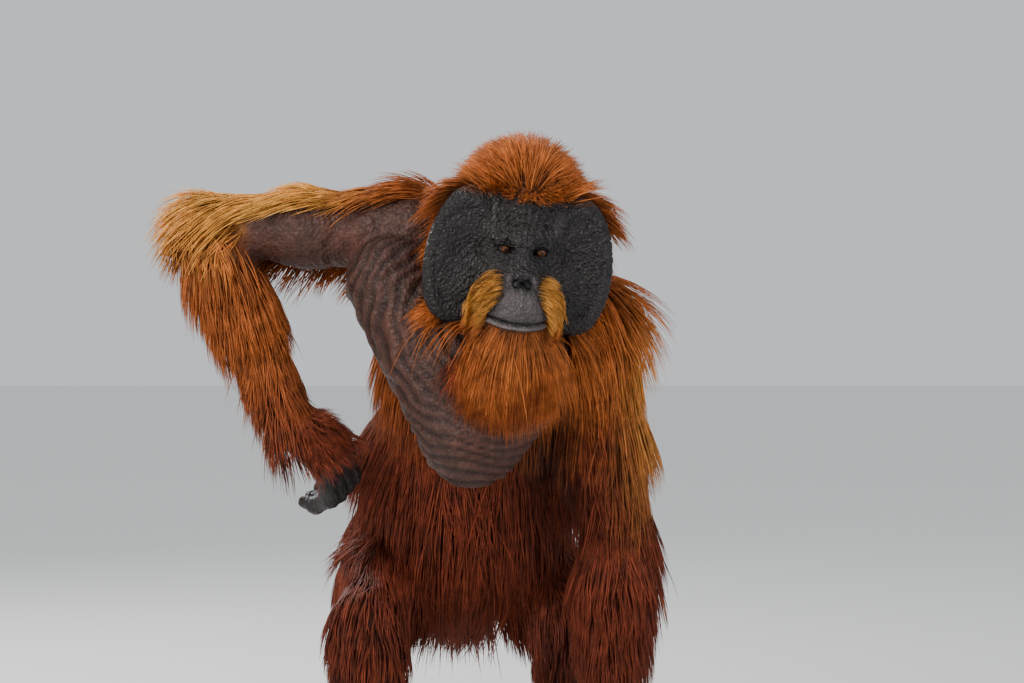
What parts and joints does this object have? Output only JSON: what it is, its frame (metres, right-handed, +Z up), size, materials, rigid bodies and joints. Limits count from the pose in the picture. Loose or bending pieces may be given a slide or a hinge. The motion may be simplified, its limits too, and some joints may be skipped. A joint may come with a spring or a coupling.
{
  "type": "orangutan",
  "caption": "Life-size still model of a flanged adult male orangutan, crouched on both feet, the left arm down to a fist just over the floor, the right arm raised sideways with the hand hooked.",
  "frame": {"origin": "on the floor, under the middle of the model's box", "axes": "+Z up, the chest faces -Y, the animal's left side towards +X"},
  "size_m": [0.9162, 0.7812, 1.1985],
  "materials": {
    "coat": "long rust-red hair",
    "beard": "orange beard hair",
    "hide": "bare wrinkled purple-brown skin",
    "face_skin": "bare dark grey pebbled skin",
    "eye": "wet brown eye"
  },
  "bodies": {
    "root": {"chest": "coat", "abdomen": "coat", "neck": "coat", "upper_arm_left": "coat", "upper_arm_right": "coat", "forearm_left": "coat", "forearm_right": "coat", "thigh_left": "coat", "thigh_right": "coat", "shin_left": "coat", "shin_right": "coat", "head": "face_skin", "cheek_flange_left": "face_skin", "cheek_flange_right": "face_skin", "ear_left": "face_skin", "ear_right": "face_skin", "hand_left": "face_skin", "hand_right": "face_skin", "foot_left": "face_skin", "foot_right": "face_skin", "jaw": "beard", "throat_sac": "hide", "eye_left": "eye", "eye_right": "eye"}
  },
  "joints": []
}
